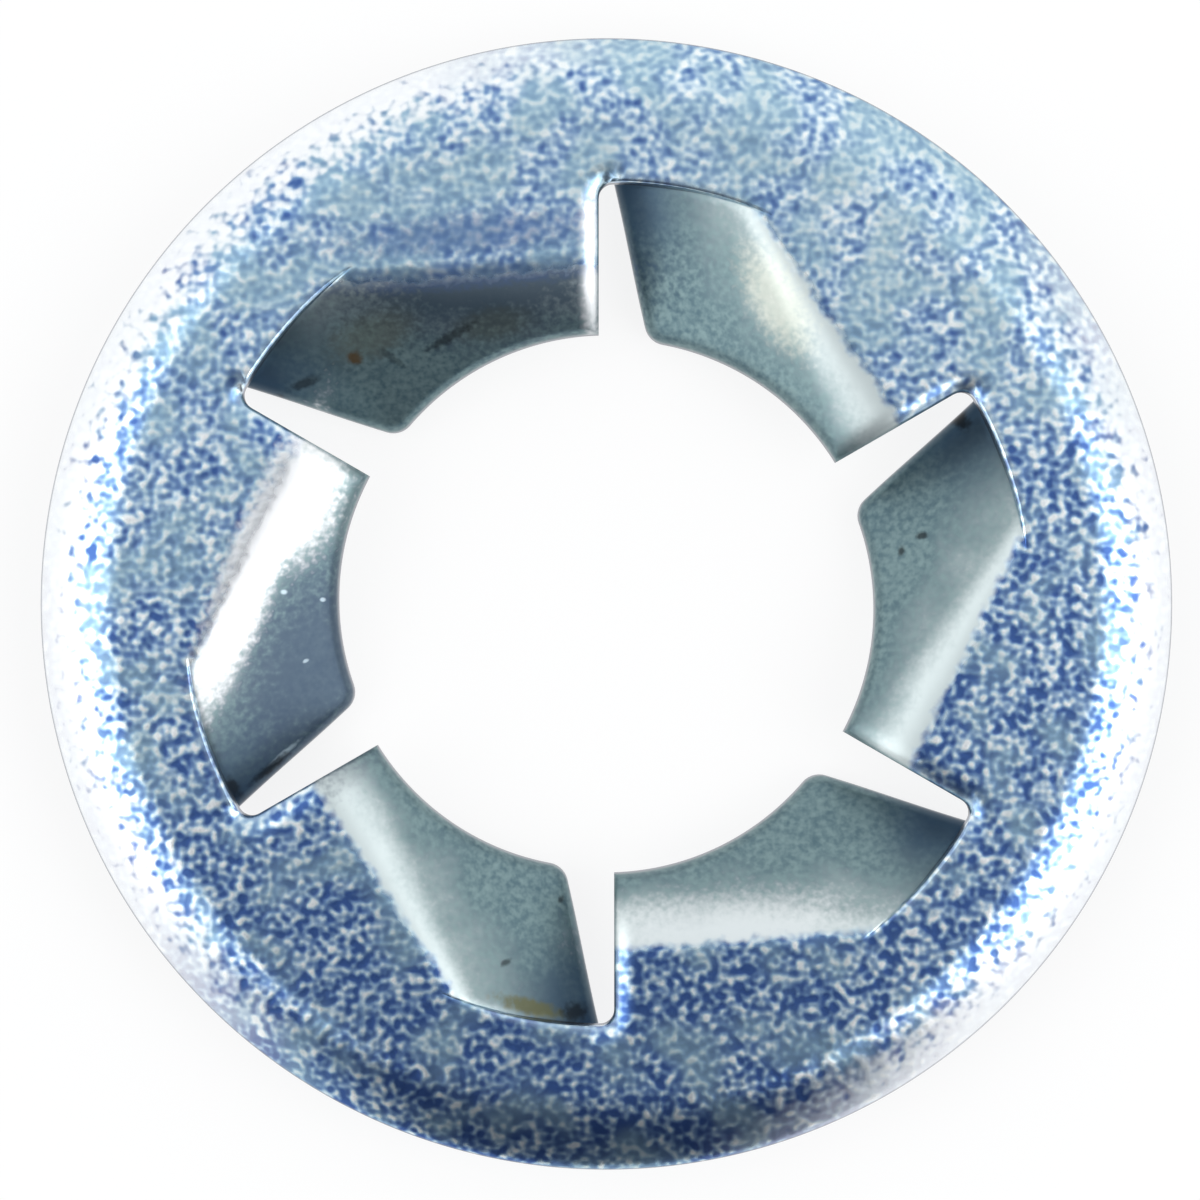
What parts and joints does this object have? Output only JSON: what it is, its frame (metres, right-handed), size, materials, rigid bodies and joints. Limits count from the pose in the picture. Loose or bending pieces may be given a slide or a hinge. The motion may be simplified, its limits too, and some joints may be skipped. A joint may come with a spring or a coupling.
{
  "type": "push-on nut",
  "caption": "Round stamped push-on nut of zinc-plated spring steel, with a turned-down rim and lanced sloping tongues whose tips grip a stud pushed through the bore.",
  "frame": {"origin": "on the bore's axis, in the plane that the deep corners of the tongues stand on", "axes": "+Z along the bore, out of the flat bearing face; +X and +Y as right and up in the picture, so a slot lies along +Y"},
  "size_m": [0.016, 0.016, 0.0018],
  "materials": {
    "zinc_plated_steel": "satin"
  },
  "bodies": {
    "root": {"push_on_nut": "zinc_plated_steel"}
  },
  "joints": []
}
